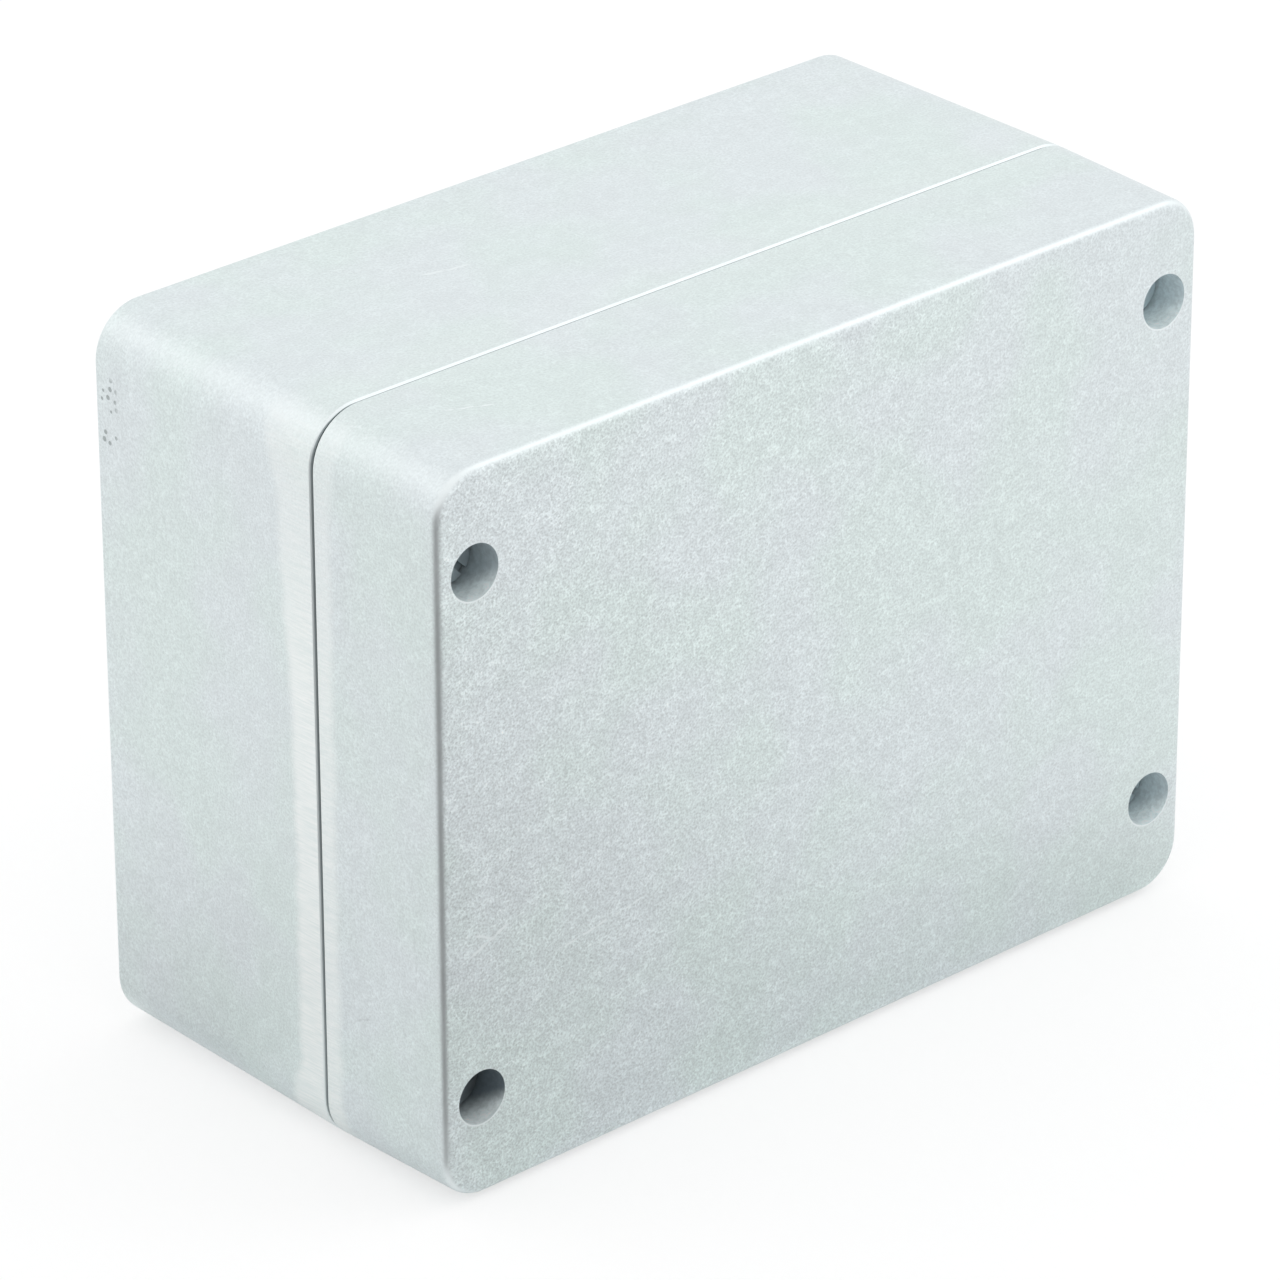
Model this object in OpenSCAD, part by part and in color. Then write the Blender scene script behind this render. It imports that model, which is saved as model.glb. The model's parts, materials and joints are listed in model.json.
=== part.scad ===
// Die cast aluminium enclosure: a deep base and a shallower lid, closed by four captive screws.
// The lid faces -Y, the base's flat back faces +Y, and the box stands on one long side on Z = 0.
// Both castings are written in their casting direction: the parting plane is z = 0, the lid rises
// from it towards +z and the base goes down from it towards -z. stand() turns them upright.

/* [Box] */
// Width along X, at the parting plane
box_w = 160; // [130:1:240]
// Height along Z, at the parting plane
box_h = 125; // [100:1:200]
// Depth of the base, from the parting plane to its back
base_depth = 52.4; // [40:0.2:90]
// Depth of the lid, from the parting plane to its front
lid_depth = 27.6; // [24:0.2:45]
// Radius of the four upright corners
corner_r = 8.8; // [7.6:0.2:12]
// Wall of the base, at the rim
wall = 4.8; // [4.4:0.1:6]
// Floor of the base
floor_t = 4; // [3:0.1:6]
// Front plate of the lid
lid_t = 4; // [3:0.1:6]

/* [Casting] */
// Draft of the base's outer sides, in degrees
base_draft = 0.3; // [0.1:0.1:1]
// Draft of the lid's outer sides, in degrees
lid_draft = 1.7; // [0.2:0.1:2.5]
// Draft inside both castings, in degrees
core_draft = 0.8; // [0.2:0.1:1.5]
// Round edge at the back of the base
base_edge_r = 1.2; // [0.6:0.1:2.5]
// Round edge at the front of the lid
lid_edge_r = 1.6; // [0.6:0.1:2.5]
// Bevel of the base along the parting line
base_seam = 0.4; // [0.1:0.05:0.6]
// Bevel of the lid along the parting line
lid_seam = 0.6; // [0.1:0.05:1]
// Round edge where the cavity walls meet the floor
floor_edge_r = 2.5; // [1:0.1:3]

/* [Lid screws] */
// Distance of the lid screws from the ends
screw_from_end = 8.2; // [8:0.1:10]
// Distance of the lid screws from the long sides
screw_from_side = 18; // [17.8:0.1:24]
// Thread diameter
screw_d = 5; // [4:0.5:6]
// Head diameter
screw_head_d = 8.5; // [7:0.1:9]
// Head height
screw_head_h = 3.3; // [2.6:0.1:4]
// Depth of the counterbores in the lid
counterbore_depth = 9; // [6:0.1:12]
// Thread length held in the base
thread_hold = 12; // [8:0.5:16]
// Depth of the tapped holes in the base
tapped_depth = 18; // [17:0.5:30]
// Diameter of the thin neck between head and thread
neck_d = 3.9; // [3:0.1:4.4]
// Outer diameter of the captive ring on the neck
ring_d = 7.6; // [7:0.1:8.2]
// Thickness of the captive ring
ring_t = 1; // [0.8:0.1:1.6]
// Slot width
slot_w = 1.2; // [0.8:0.1:1.6]
// Slot depth
slot_depth = 1.3; // [1:0.1:1.6]
// Angle of each slot, seen from the front: top left, top right, bottom right, bottom left
slot_turn = [-45, 70, -34, 15]; // [-90:1:90]

/* [Wall fixing] */
// Distance of the fixing holes from the ends and from the long sides
fixing_inset = 8.2; // [7.6:0.1:8.4]
// Fixing hole diameter
fixing_d = 5.4; // [4.4:0.1:6]
// Diameter of the way down to the fixing hole, for the screw's head
fixing_access_d = 9.4; // [8:0.1:9.6]
// Thickness left under the fixing screw's head
fixing_foot_t = 6; // [4:0.5:10]

/* [Seal] */
// Width of the tongue on the base rim
tongue_w = 1.6; // [1.2:0.1:2]
// Ledge left between the tongue and the cavity
tongue_ledge = 0.4; // [0.2:0.1:0.8]
// Height of the tongue
tongue_h = 1.8; // [1.2:0.1:2.4]
// Width of the gasket groove in the lid
groove_w = 3.2; // [2.8:0.1:3.6]
// Thickness of the gasket
gasket_t = 2.2; // [1.4:0.1:3]
// Inner lip of the lid, beside the groove
lip_t = 1.6; // [1.4:0.1:2.4]
// Wall left between a counterbore and the groove
groove_from_bore = 2.4; // [1.6:0.1:4]
// Radius of the seal line's outward bends, with no inset
seal_bend_r = 10; // [8:0.5:12]
// Radius of its inward bends, round the corner columns
column_bend_r = 1; // [0.5:0.5:4]

/* [Inside] */
// Distance of the mounting pillars from the ends
pillar_from_end = 22; // [20:1:40]
// Distance of the mounting pillars from the long sides
pillar_from_side = 39; // [36:1:46]
// Pillar diameter
pillar_d = 9; // [8:0.1:11]
// Pillar height over the floor
pillar_h = 6; // [5:0.5:10]
// Distance of the earth terminals from the end
earth_from_end = 15; // [14:0.5:20]
// Earth boss diameter
earth_boss_d = 11; // [10:0.5:12]
// Earth boss height over the floor
earth_boss_h = 5; // [5:0.5:8]
// Thread of the pillars and of the earth screws
small_d = 4; // [3:0.5:4.5]
// Depth of the small tapped holes
small_tap = 7; // [6:0.5:7.5]
// Clamp washer diameter
clamp_washer_d = 10; // [9:0.5:11]
// Clamp washer thickness
clamp_washer_t = 1; // [0.5:0.1:1.6]
// Spring washer diameter
spring_washer_d = 7.6; // [7:0.1:9]
// Spring washer thickness
spring_washer_t = 0.9; // [0.6:0.1:1.4]

/* [Fits] */
// Clearance round a screw's head and shank
screw_gap = 0.35; // [0.2:0.05:0.6]
// Clearance round a thread and between a captive ring and its seat
thread_gap = 0.1; // [0.05:0.05:0.2]
// Clearance beside the gasket, on each side
gasket_gap = 0.1; // [0.05:0.05:0.3]
// Clearance round a neck or shank in its ring or washer
neck_gap = 0.15; // [0.05:0.05:0.2]

/* [Hidden] */
HALVES = ["base", "lid"];

ROUND = 96;      // facets of turned and drilled shapes
BEND = 7;        // facets of each bend of the seal line
FILLET = 5;      // facets of the round edge along a cavity's floor
PAST = 1;        // how far a cut runs past the face it opens
OVERLAP = 1;     // how far a boss or tongue is sunk into the wall that carries it

ALUMINIUM = [0.83, 0.86, 0.86];
STEEL = [0.72, 0.73, 0.74];
RUBBER = [0.2, 0.2, 0.21];
NYLON = [0.88, 0.87, 0.82];

// seen from the front: top left, top right, bottom right, bottom left
CORNERS = [[-1, 1], [1, 1], [1, -1], [-1, -1]];

box_d = base_depth + lid_depth;

counterbore_d = screw_head_d + 2 * screw_gap;
screw_seat_z = lid_depth - counterbore_depth;
lid_pocket_h = screw_seat_z - lid_t;

// the seal line: how far in from the outer face each of its edges lies
tongue_inner = wall - tongue_ledge;
tongue_outer = tongue_inner - tongue_w;
groove_outer = tongue_inner - (groove_w + tongue_w) / 2;
groove_inner = groove_outer + groove_w;
lid_wall = groove_inner + lip_t;
groove_depth = tongue_h + gasket_t;

// the corner columns, outside the seal, measured where the seal line would have no inset
column_w = screw_from_end + counterbore_d / 2 + groove_from_bore - groove_outer;
column_h = screw_from_side + counterbore_d / 2 + groove_from_bore - groove_outer;
sharpest_bend_r = 0.3; // where the inset has used up the seal line's own bend

// the inner floors, counted from the parting plane
base_floor = base_depth - floor_t;
lid_floor = lid_depth - lid_t;

// an earth screw's head and thin neck, in the proportions of a slotted cheese head
small_head_d = small_d * 1.75;
small_head_h = small_d * 0.65;
small_neck_d = small_d * 0.9;
small_end = 1;    // free end of a small tapped hole, past its screw
small_grip = small_tap - small_end;
washer_split = 1; // opening of a spring washer

// turns a casting's own direction upright and sets the box on Z = 0, centred on X and Y
module stand() {
    translate([0, lid_depth - box_d / 2, box_h / 2])
        rotate([90, 0, 0])
            children();
}

// one copy at each corner of the box, at a distance from the ends and from the long sides
module at_corners(from_end, from_side) {
    for (i = [0:3]) at_corner(i, from_end, from_side) children();
}

module at_corner(i, from_end, from_side) {
    translate([CORNERS[i][0] * (box_w / 2 - from_end), CORNERS[i][1] * (box_h / 2 - from_side), 0])
        children();
}

module at_earth() {
    translate([earth_from_end - box_w / 2, 0, 0]) children();
}

// turns what is written as for the lid round into the base
module in_base() {
    mirror([0, 0, 1]) children();
}

// the place on top of an earth boss whose floor is at z = floor_z, looking away from the boss
module at_earth_seat(floor_z) {
    at_earth() translate([0, 0, floor_z - earth_boss_h]) mirror([0, 0, 1]) children();
}

// rounds a size, so that shapes which meet get the same numbers
function neat(v) = round(v * 1000) / 1000;

// half of a casting's section, from the middle (x = 0) to the drafted side, with its bevel at the
// parting plane (y = 0) and its round edge at the far face (y = depth)
module side_section(half, depth, draft, edge_r, seam) {
    seam_side = half - neat(seam * tan(draft));
    far_side = half - neat((depth - edge_r) * tan(draft));
    polygon([
        [0, 0], [half - seam, 0], [seam_side, seam], [far_side, depth - edge_r],
        [far_side - edge_r, depth - edge_r], [far_side - edge_r, depth], [0, depth]
    ]);
    translate([far_side - edge_r, depth - edge_r]) intersection() {
        circle(r = edge_r, $fn = ROUND);
        square(2 * edge_r);
    }
}

// a drafted block with upright round corners and a round far edge
module drafted_block(depth, draft, edge_r, seam) {
    span_w = box_w - 2 * corner_r;
    span_h = box_h - 2 * corner_r;
    for (s = [0, 1]) mirror([s, 0, 0])
        translate([0, span_h / 2, 0]) rotate([90, 0, 0])
            linear_extrude(span_h) side_section(box_w / 2, depth, draft, edge_r, seam);
    for (s = [0, 1]) mirror([0, s, 0])
        translate([-span_w / 2, 0, 0]) rotate([90, 0, 90])
            linear_extrude(span_w) side_section(box_h / 2, depth, draft, edge_r, seam);
    for (i = [0:3])
        translate([CORNERS[i][0] * span_w / 2, CORNERS[i][1] * span_h / 2, 0])
            rotate([0, 0, 90 - 90 * i])
                rotate_extrude(angle = 90, $fn = ROUND)
                    side_section(corner_r, depth, draft, edge_r, seam);
}

// points along a bend, from angle a0 to angle a1
function bend(centre, r, a0, a1) =
    [for (k = [0:BEND]) centre + r * [cos(a0 + (a1 - a0) * k / BEND), sin(a0 + (a1 - a0) * k / BEND)]];

// a quarter of the outline that the seal follows, moved in by inset: round the end, in along the
// corner column, and out to the long side
function seal_quarter(inset) =
    let (
        end = [box_w / 2, box_h / 2] - [inset, inset],
        column = end - [column_w, column_h],
        outward_r = max(seal_bend_r - inset, sharpest_bend_r),
        inward_r = column_bend_r + inset
    )
    concat(
        bend([end[0] - outward_r, column[1] - outward_r], outward_r, 0, 90),
        bend(column + [inward_r, inward_r], inward_r, 270, 180),
        bend([column[0] - outward_r, end[1] - outward_r], outward_r, 0, 90)
    );

function backwards(path) = [for (k = [len(path) - 1:-1:0]) path[k]];
function flipped(path, x, y) = [for (p = path) [x * p[0], y * p[1]]];

// the whole outline, anticlockwise
function seal_path(inset) =
    let (quarter = seal_quarter(inset))
    concat(quarter, backwards(flipped(quarter, -1, 1)), flipped(quarter, -1, -1),
           backwards(flipped(quarter, 1, -1)));

// what the core leaves hollow: from past the rim (z = 0) down to the floor at z = depth, its walls
// drawn in by the draft, with a round edge above the floor. Each level is a height and an inset;
// the last lies past the floor, which is then cut flat.
module core(inset, depth) {
    fillet_z = depth - floor_edge_r;
    fillet_inset = inset + fillet_z * tan(core_draft);
    levels = concat(
        [[-PAST, inset - PAST * tan(core_draft)]],
        [for (k = [0:FILLET])
            let (a = 75 * k / FILLET)
            [fillet_z + floor_edge_r * sin(a), fillet_inset + floor_edge_r * (1 - cos(a))]],
        [[depth + PAST, fillet_inset + floor_edge_r]]
    );
    rings = [for (level = levels) [for (p = seal_path(level[1])) [p[0], p[1], level[0]]]];
    n = len(rings[0]);
    last = (len(levels) - 1) * n;
    intersection() {
        polyhedron(
            points = [for (ring = rings) for (p = ring) p],
            faces = concat(
                [[for (i = [0:n - 1]) i], [for (i = [n - 1:-1:0]) last + i]],
                [for (k = [0:len(levels) - 2]) for (i = [0:n - 1])
                    let (a = k * n + i, b = k * n + (i + 1) % n)
                    each [[a, a + n, b + n], [a, b + n, b]]]
            )
        );
        translate([-box_w / 2, -box_h / 2, -2 * PAST]) cube([box_w, box_h, depth + 2 * PAST]);
    }
}

// a straight band of the seal line
module seal_band(outer, inner, z, h) {
    translate([0, 0, z])
        linear_extrude(h)
            difference() {
                polygon(seal_path(outer));
                polygon(seal_path(inner));
            }
}

module round_bar(d, z, h) {
    translate([0, 0, z]) cylinder(d = d, h = h, $fn = ROUND);
}

// the same, as the wall of a tapped hole
module tapped(d, z, h) {
    round_bar(d + 2 * thread_gap, z, h);
}

// a turned screw, its head resting at z = 0 and its tip down at z = -(neck + thread)
module slotted_screw(head_d, head_h, neck_d, neck, thread_d, thread, turn) {
    edge = head_h * 0.12;
    tip = thread_d * 0.12;
    end = -(neck + thread);
    difference() {
        rotate_extrude($fn = ROUND)
            polygon([
                [0, end], [thread_d / 2 - tip, end], [thread_d / 2, end + tip],
                [thread_d / 2, -neck], [neck_d / 2, -neck], [neck_d / 2, 0],
                [head_d / 2, 0], [head_d / 2, head_h - edge], [head_d / 2 - edge, head_h], [0, head_h]
            ]);
        rotate([0, 0, turn])
            translate([-head_d / 2 - PAST, -slot_w / 2, head_h - slot_depth])
                cube([head_d + 2 * PAST, slot_w, slot_depth + PAST]);
    }
}

module flat_ring(outer_d, inner_d, h) {
    difference() {
        round_bar(outer_d, 0, h);
        round_bar(inner_d, -PAST, h + 2 * PAST);
    }
}

// the earth boss of one half, on its floor at z = floor_z, and the boss's tapped hole
module earth_boss(floor_z) {
    at_earth() round_bar(earth_boss_d, floor_z - earth_boss_h, earth_boss_h + OVERLAP);
}

module earth_hole(floor_z) {
    at_earth() tapped(small_d, floor_z - earth_boss_h - PAST, small_tap + PAST);
}

module base_casting() {
    color(ALUMINIUM) stand() difference() {
        union() {
            in_base() difference() {
                drafted_block(base_depth, base_draft, base_edge_r, base_seam);
                core(wall, base_floor);
            }
            seal_band(tongue_outer, tongue_inner, -OVERLAP, tongue_h + OVERLAP);
            in_base() at_corners(pillar_from_end, pillar_from_side)
                round_bar(pillar_d, base_floor - pillar_h, pillar_h + OVERLAP);
            in_base() earth_boss(base_floor);
        }
        at_corners(screw_from_end, screw_from_side)
            tapped(screw_d, -tapped_depth, tapped_depth + PAST);
        at_corners(fixing_inset, fixing_inset) {
            round_bar(fixing_access_d, fixing_foot_t - base_depth, base_depth);
            round_bar(fixing_d, -base_depth - PAST, base_depth);
        }
        in_base() at_corners(pillar_from_end, pillar_from_side)
            tapped(small_d, base_floor - pillar_h - PAST, small_tap + PAST);
        in_base() earth_hole(base_floor);
    }
}

module lid_casting() {
    color(ALUMINIUM) stand() difference() {
        union() {
            difference() {
                drafted_block(lid_depth, lid_draft, lid_edge_r, lid_seam);
                core(lid_wall, lid_floor);
            }
            earth_boss(lid_floor);
        }
        seal_band(groove_outer, groove_inner, -PAST, groove_depth + PAST);
        at_corners(screw_from_end, screw_from_side) {
            round_bar(counterbore_d, screw_seat_z, counterbore_depth + PAST);
            round_bar(screw_d + 2 * screw_gap, -PAST, lid_depth);
            round_bar(ring_d + 2 * thread_gap, -PAST, ring_t + thread_gap + PAST);
        }
        at_corners(fixing_inset, fixing_inset) round_bar(fixing_access_d, -PAST, lid_pocket_h + PAST);
        earth_hole(lid_floor);
    }
}

module lid_gasket() {
    color(RUBBER) stand()
        seal_band(groove_outer + gasket_gap, groove_inner - gasket_gap, tongue_h, gasket_t);
}

module lid_screw(i) {
    color(STEEL) stand() at_corner(i, screw_from_end, screw_from_side)
        translate([0, 0, screw_seat_z])
            slotted_screw(screw_head_d, screw_head_h, neck_d, screw_seat_z, screw_d, thread_hold,
                          slot_turn[i]);
}

module captive_ring(i) {
    color(NYLON) stand() at_corner(i, screw_from_end, screw_from_side)
        translate([0, 0, thread_gap])
            flat_ring(ring_d, neck_d + 2 * neck_gap, ring_t);
}

// one piece of an earth terminal, in the base or in the lid
module earth_piece(half) {
    color(STEEL) stand() {
        if (half == "base") in_base() at_earth_seat(base_floor) children();
        else at_earth_seat(lid_floor) children();
    }
}

module earth_screw(half) {
    earth_piece(half)
        translate([0, 0, clamp_washer_t + spring_washer_t])
            slotted_screw(small_head_d, small_head_h, small_neck_d, clamp_washer_t + spring_washer_t,
                          small_d, small_grip, 30);
}

module spring_washer(half) {
    earth_piece(half)
        translate([0, 0, clamp_washer_t])
            difference() {
                flat_ring(spring_washer_d, small_d + 2 * neck_gap, spring_washer_t);
                rotate([0, 0, 60]) translate([0, -washer_split / 2, -PAST])
                    cube([spring_washer_d, washer_split, spring_washer_t + 2 * PAST]);
            }
}

module clamp_washer(half) {
    earth_piece(half) flat_ring(clamp_washer_d, small_d + 2 * neck_gap, clamp_washer_t);
}

base_casting();
lid_casting();
lid_gasket();
for (i = [0:3]) {
    lid_screw(i);
    captive_ring(i);
}
for (half = HALVES) {
    earth_screw(half);
    spring_washer(half);
    clamp_washer(half);
}
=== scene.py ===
# %% [markdown]
# # A die cast aluminium box
# The object is an instrument box in two castings: a deep base and a shallower lid, closed by four
# screws that sit deep in round recesses. The solids come from the CAD model and aren't changed.
# This lesson adds what the solids don't have: the finish of each metal, the light and the camera.

# %% Load the CAD model as the frame
import json
import math
import bpy
from mathutils import Matrix, Vector


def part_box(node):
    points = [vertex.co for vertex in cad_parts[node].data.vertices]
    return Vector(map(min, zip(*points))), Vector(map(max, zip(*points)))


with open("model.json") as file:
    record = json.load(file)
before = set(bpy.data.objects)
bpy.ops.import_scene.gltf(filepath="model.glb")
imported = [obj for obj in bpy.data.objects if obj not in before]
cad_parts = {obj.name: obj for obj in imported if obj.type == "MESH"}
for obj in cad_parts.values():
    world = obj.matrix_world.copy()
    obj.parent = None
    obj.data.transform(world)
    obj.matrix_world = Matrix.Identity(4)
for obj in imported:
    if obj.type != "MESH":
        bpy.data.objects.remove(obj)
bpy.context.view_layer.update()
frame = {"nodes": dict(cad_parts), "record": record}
nodes = frame["nodes"]

# %% [markdown]
# Every size below is taken from the CAD nodes, so that the finish stays in register with the
# shapes. The lid ends at the parting plane, where the two castings meet, so the lid's highest y is
# that plane. The middle of the box on that plane is the origin of most patterns.

# %% Measure the castings
MM = 0.001
lid_low, lid_high = (Vector(corner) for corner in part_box("lid_casting"))
base_low, base_high = (Vector(corner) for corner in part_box("base_casting"))
screw_low, screw_high = (Vector(corner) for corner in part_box("lid_screw_1"))
PARTING = lid_high.y
LID_DEPTH = PARTING - lid_low.y
BASE_DEPTH = base_high.y - PARTING
HALF_W = base_high.x
HALF_H = (base_high.z - base_low.z) / 2
MIDDLE = Vector((0, PARTING, base_low.z + HALF_H))
SCREW = (screw_low + screw_high) / 2
SCREW_X, SCREW_Z = abs(SCREW.x), abs(SCREW.z - MIDDLE.z)
print("lid", round(LID_DEPTH, 4), "m deep, base", round(BASE_DEPTH, 4), "m deep")
print("half width", round(HALF_W, 4), "half height", round(HALF_H, 4))
print("screws", round(SCREW_X, 4), "m to the sides and", round(SCREW_Z, 4), "m up and down")

# %% [markdown]
# The camera stands a little over a metre away with a long lens, as a product photographer works,
# so that the box keeps its proportions. It looks down on the front, the left end and the top. Its
# place is given by a direction and a distance from the middle of the box, and its aim by a second
# direction, which moves the box in the frame without any lens shift.

# %% Place the camera
STAND_AZIMUTH, STAND_ELEVATION = -42.35, 26.81
AIM_AZIMUTH, AIM_ELEVATION = -41.76, 26.87
CAMERA_DISTANCE = 1.1928
CAMERA_ROLL = -0.17
FOCAL_LENGTH, SENSOR_WIDTH = 213.1, 36
NEAREST, FARTHEST = 0.01, 20


def direction(azimuth, elevation):
    """Unit vector from the box towards a viewer: azimuth turns about Z from the front (-Y),
    elevation rises from the horizon, both in degrees."""
    a, e = math.radians(azimuth), math.radians(elevation)
    return Vector((math.sin(a) * math.cos(e), -math.cos(a) * math.cos(e), math.sin(e)))


def place_camera(stand, distance, aim, roll):
    """Camera at MIDDLE + distance * stand, looking along -aim. Its right is the horizontal at right
    angles to aim, turned by roll degrees about the line of sight."""
    level = Vector((0, 0, 1)).cross(aim).normalized()
    upright = aim.cross(level)
    turn = math.radians(roll)
    right = math.cos(turn) * level + math.sin(turn) * upright
    up = math.cos(turn) * upright - math.sin(turn) * level
    data = bpy.data.cameras.new("camera")
    data.lens, data.sensor_width = FOCAL_LENGTH, SENSOR_WIDTH
    data.clip_start, data.clip_end = NEAREST, FARTHEST
    made = bpy.data.objects.new("camera", data)
    turned = Matrix((right, up, aim)).transposed().to_4x4()
    made.matrix_world = Matrix.Translation(MIDDLE + distance * stand) @ turned
    bpy.context.scene.collection.objects.link(made)
    bpy.context.scene.camera = made
    return made


camera = place_camera(
    direction(STAND_AZIMUTH, STAND_ELEVATION),
    CAMERA_DISTANCE,
    direction(AIM_AZIMUTH, AIM_ELEVATION),
    CAMERA_ROLL,
)
print("camera at", [round(v, 3) for v in camera.matrix_world.translation])

# %% [markdown]
# Shader nodes are easier to read as short calls than as long lists of links. `add` adds one node
# with its settings and its inputs. The others add a node of one kind and return its output: `calc`
# does arithmetic, `spread` turns one range into another with soft ends, and `tint` lays one colour
# over another.

# %% Helpers for shader nodes
def plug(tree, socket, value):
    """Links value to the socket if it is another node's output, and otherwise sets it."""
    if isinstance(value, bpy.types.NodeSocket):
        tree.links.new(value, socket)
    else:
        socket.default_value = value


def add(tree, kind, settings=None, **inputs):
    """Adds a node, with its own settings and its named inputs, whose spaces are written as _."""
    made = tree.nodes.new("ShaderNode" + kind)
    for name, value in (settings or {}).items():
        setattr(made, name, value)
    for name, value in inputs.items():
        plug(tree, made.inputs[name.replace("_", " ")], value)
    return made


def calc(tree, operation, *values):
    """The result of an arithmetic operation on one or more values, each a number or an output."""
    made = add(tree, "Math", {"operation": operation})
    for socket, value in zip(made.inputs, values):
        plug(tree, socket, value)
    return made.outputs[0]


def spread(tree, value, low, high, to_low=0.0, to_high=1.0, soft=True):
    """value from low..high to to_low..to_high, held at the ends, on an S curve if soft."""
    made = add(tree, "MapRange", {"interpolation_type": "SMOOTHSTEP" if soft else "LINEAR"},
               Value=value, From_Min=low, From_Max=high, To_Min=to_low, To_Max=to_high)
    return made.outputs["Result"]


def tint(tree, share, under, over):
    """The colour under, with over laid on it by the given share."""
    made = add(tree, "Mix", {"data_type": "RGBA"})
    share_in, under_in, over_in = (made.inputs[i] for i in (0, 6, 7))
    plug(tree, share_in, share)
    plug(tree, under_in, under)
    plug(tree, over_in, over)
    return made.outputs[2]


print("helpers that add one node each: add, calc, spread, tint")

# %% [markdown]
# The stage is a large pale floor under the box, on which the box casts its soft shadow. For the
# camera alone the paper is greyer and has a brightness of its own, which together take the unshaded
# floor up to white and keep the shadow light.

# %% Lay the floor
FLOOR_HALF = 4
FLOOR_GAP = 0.02 * MM
PAPER_TONE = 0.91
PAPER_TONE_SEEN = 0.42
PAPER_GLOW_SEEN = 0.60


def floor_paper():
    """Matt paper of PAPER_TONE. Rays from the camera find PAPER_TONE_SEEN plus PAPER_GLOW_SEEN."""
    made = bpy.data.materials.new("floor_paper")
    made.use_nodes = True
    tree = made.node_tree
    tree.nodes.clear()
    seen = add(tree, "LightPath").outputs["Is Camera Ray"]
    tone = spread(tree, seen, 0.0, 1.0, PAPER_TONE, PAPER_TONE_SEEN, soft=False)
    matt = add(tree, "BsdfDiffuse", Color=tone)
    glow = add(tree, "Emission", Strength=calc(tree, "MULTIPLY", seen, PAPER_GLOW_SEEN))
    both = add(tree, "AddShader")
    tree.links.new(matt.outputs[0], both.inputs[0])
    tree.links.new(glow.outputs[0], both.inputs[1])
    add(tree, "OutputMaterial", Surface=both.outputs[0])
    return made


def lay_floor(half):
    """A square floor from -half to half, FLOOR_GAP below the box's lowest point."""
    z = base_low.z - FLOOR_GAP
    corners = [(-half, -half, z), (half, -half, z), (half, half, z), (-half, half, z)]
    mesh = bpy.data.meshes.new("floor")
    mesh.from_pydata(corners, [], [(0, 1, 2, 3)])
    mesh.materials.append(floor_paper())
    made = bpy.data.objects.new("floor", mesh)
    bpy.context.scene.collection.objects.link(made)
    return made


floor = lay_floor(FLOOR_HALF)
print("floor at", round(floor.data.vertices[0].co.z, 5))

# %% [markdown]
# Bare metal shows what stands round it, so the light is mostly a matter of large, even surfaces.
# The world is white and gives a flat fill. One soft box stands high at the front right, where the
# rounded top front edge of the lid mirrors it to the camera as a bright line, and a weaker one
# stands high behind the left end, for the round corner between that end and the top.

# %% Set the world and the soft boxes
WORLD_STRENGTH = 1.0
LAMP_DISTANCE = 1.0
LAMP_CENTRE = MIDDLE + Vector((0, 10 * MM, 0))


def white_world():
    """An even white world on all sides."""
    made = bpy.data.worlds.new("studio")
    made.use_nodes = True
    tree = made.node_tree
    tree.nodes.clear()
    sky = add(tree, "Background", Color=(1, 1, 1, 1), Strength=WORLD_STRENGTH)
    add(tree, "OutputWorld", Surface=sky.outputs[0])
    return made


def soft_box(name, towards, size, power):
    """A square area lamp at LAMP_DISTANCE from LAMP_CENTRE along towards, facing back along it.
    size is in metres and power in watts."""
    lamp = bpy.data.lights.new(name, "AREA")
    lamp.shape, lamp.size, lamp.energy = "SQUARE", size, power
    holder = bpy.data.objects.new(name, lamp)
    holder.location = LAMP_CENTRE + LAMP_DISTANCE * towards.normalized()
    holder.rotation_euler = towards.to_track_quat("Z", "Y").to_euler()
    bpy.context.scene.collection.objects.link(holder)
    print(name, "at", [round(v, 2) for v in holder.location])


bpy.context.scene.world = white_world()
soft_box("soft_box_front_right", Vector((0.60, -0.45, 0.66)), 0.5, 0.5)
soft_box("soft_box_back_left", Vector((-0.45, 0.66, 0.60)), 0.4, 0.1)

# %% [markdown]
# A photographer also shapes the reflections with card that stays out of the picture. The upright
# edge between the left end and the front mirrors the floor in front of it. A black card stands
# there, with a black one flat at its foot, so that the edge is drawn as a dark line between two
# pale faces. Grey cards flat by the foot of the box let the faces darken a little towards the
# floor, and the front also towards its left side. The cards are left out of all but reflections.

# %% Set up the cards
CARD_LIFT = 0.5 * MM
CARD_ROUGHNESS = 0.9
BLACK_CARD = 0.03


def card(name, tone, corners):
    """A card of a grey tone with corners in millimetres: two numbers for a place just over the
    floor, measured from under the middle of the box, and a third for the height."""
    low = base_low.z + CARD_LIFT
    places = [(p[0] * MM, p[1] * MM, low + (p[2] * MM if len(p) == 3 else 0)) for p in corners]
    mesh = bpy.data.meshes.new(name)
    mesh.from_pydata(places, [], [tuple(range(len(corners)))])
    board = bpy.data.objects.new(name, mesh)
    bpy.context.scene.collection.objects.link(board)
    board.visible_camera = board.visible_diffuse = board.visible_shadow = False
    paint = bpy.data.materials.new(name)
    paint.use_nodes = True
    coat = paint.node_tree.nodes["Principled BSDF"]
    coat.inputs["Base Color"].default_value = (tone, tone, tone, 1)
    coat.inputs["Roughness"].default_value = CARD_ROUGHNESS
    mesh.materials.append(paint)
    print(name, "with", len(corners), "corners, tone", tone)


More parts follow.
